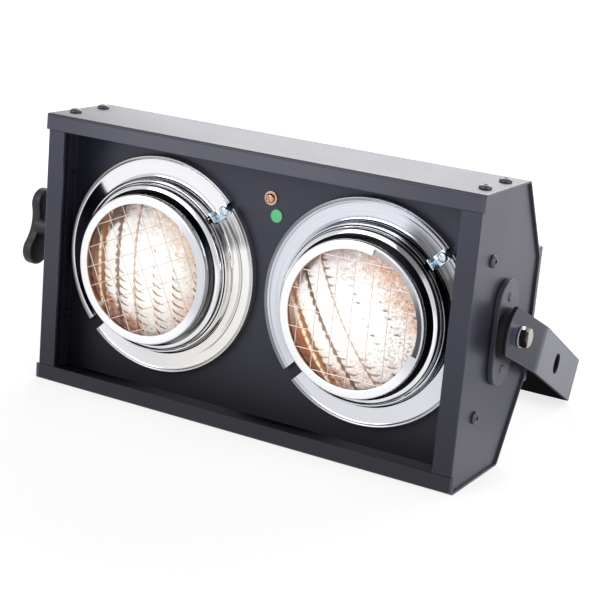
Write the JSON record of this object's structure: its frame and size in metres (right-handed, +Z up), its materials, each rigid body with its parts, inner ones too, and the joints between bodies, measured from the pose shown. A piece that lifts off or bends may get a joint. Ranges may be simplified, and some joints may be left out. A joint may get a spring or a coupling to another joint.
{
  "type": "audience blinder light",
  "caption": "Stage blinder with sealed beam lamps in chromed split rings, a folded steel housing and a tilting yoke with a wing knob.",
  "frame": {"origin": "middle of the underside of the housing's flat bottom plate", "axes": "+Z up, -Y out of the lamps, +X towards the pivot with the hex bolt"},
  "size_m": [0.4505, 0.2798, 0.2209],
  "materials": {
    "powder_coat": "satin dark grey powder coat on steel sheet",
    "black_steel": "blackened button head screws",
    "chrome": "bright chrome plate on spun steel",
    "satin_steel": "satin",
    "zinc": "bright zinc plate",
    "brass": "plain brass with a copper tone",
    "rubber": "matt black",
    "black_plastic": "fine moulded grain",
    "ceramic": "unglazed",
    "green_label": "printed film",
    "lamp_glass": "pressed flutes, clear",
    "mirror_glass": "aluminised inside",
    "tungsten": "coiled wire"
  },
  "bodies": {
    "housing": {"housing_shell": "powder_coat", "side_panel_left": "powder_coat", "side_panel_right": "powder_coat", "front_baffle": "powder_coat", "rear_cover": "powder_coat", "terminal_block": "ceramic", "gland_body": "black_plastic", "gland_nut": "black_plastic", "top_screw_1": "black_steel", "top_screw_2": "black_steel", "top_screw_3": "black_steel", "top_screw_4": "black_steel", "side_screw_left_1": "black_steel", "side_screw_left_2": "black_steel", "side_screw_right_1": "black_steel", "side_screw_right_2": "black_steel", "cover_screw_1": "black_steel", "cover_screw_2": "black_steel", "cover_screw_3": "black_steel", "cover_screw_4": "black_steel", "earth_screw": "brass", "earth_washer": "brass", "earth_label": "green_label", "trim_ring_left": "chrome", "ring_clip_left": "zinc", "ring_clip_screw_left": "zinc", "ring_clip_nut_left": "zinc", "trim_ring_right": "chrome", "ring_clip_right": "zinc", "ring_clip_screw_right": "zinc", "ring_clip_nut_right": "zinc", "pivot_plate_left": "powder_coat", "pivot_plate_right": "powder_coat", "friction_disc_left": "rubber", "friction_disc_right": "rubber", "pivot_bolt": "zinc", "bolt_washer": "zinc", "pivot_nut": "zinc", "knob_nut": "zinc", "knob_washer": "zinc"},
    "yoke": {"yoke": "powder_coat"},
    "wing_knob": {"wing_knob": "black_plastic", "knob_stud": "zinc"},
    "lamp_left": {"lamp_cup_left": "chrome", "bezel_left": "satin_steel", "wire_guard_left": "satin_steel", "lamp_lens_left": "lamp_glass", "lamp_reflector_left": "mirror_glass", "lamp_filament_left": "tungsten", "lamp_terminal_left_1": "brass", "lamp_terminal_left_2": "brass"},
    "lamp_right": {"lamp_cup_right": "chrome", "bezel_right": "satin_steel", "wire_guard_right": "satin_steel", "lamp_lens_right": "lamp_glass", "lamp_reflector_right": "mirror_glass", "lamp_filament_right": "tungsten", "lamp_terminal_right_1": "brass", "lamp_terminal_right_2": "brass"}
  },
  "joints": [
    {"name": "yoke_tilt", "type": "hinge", "parent": "housing", "child": "yoke", "pos_m": [0, 0.0185, 0.109], "axis": [1, 0, 0], "continuous": true},
    {"name": "wing_knob_turn", "type": "hinge", "parent": "housing", "child": "wing_knob", "pos_m": [0, 0.0185, 0.109], "axis": [-1, 0, 0], "continuous": true},
    {"name": "lamp_left_turn", "type": "hinge", "parent": "housing", "child": "lamp_left", "pos_m": [-0.092, -0.04025, 0.109], "axis": [0, 1, 0], "range_deg": [-90, 90]},
    {"name": "lamp_right_turn", "type": "hinge", "parent": "housing", "child": "lamp_right", "pos_m": [0.092, -0.04025, 0.109], "axis": [0, 1, 0], "range_deg": [-90, 90]}
  ]
}
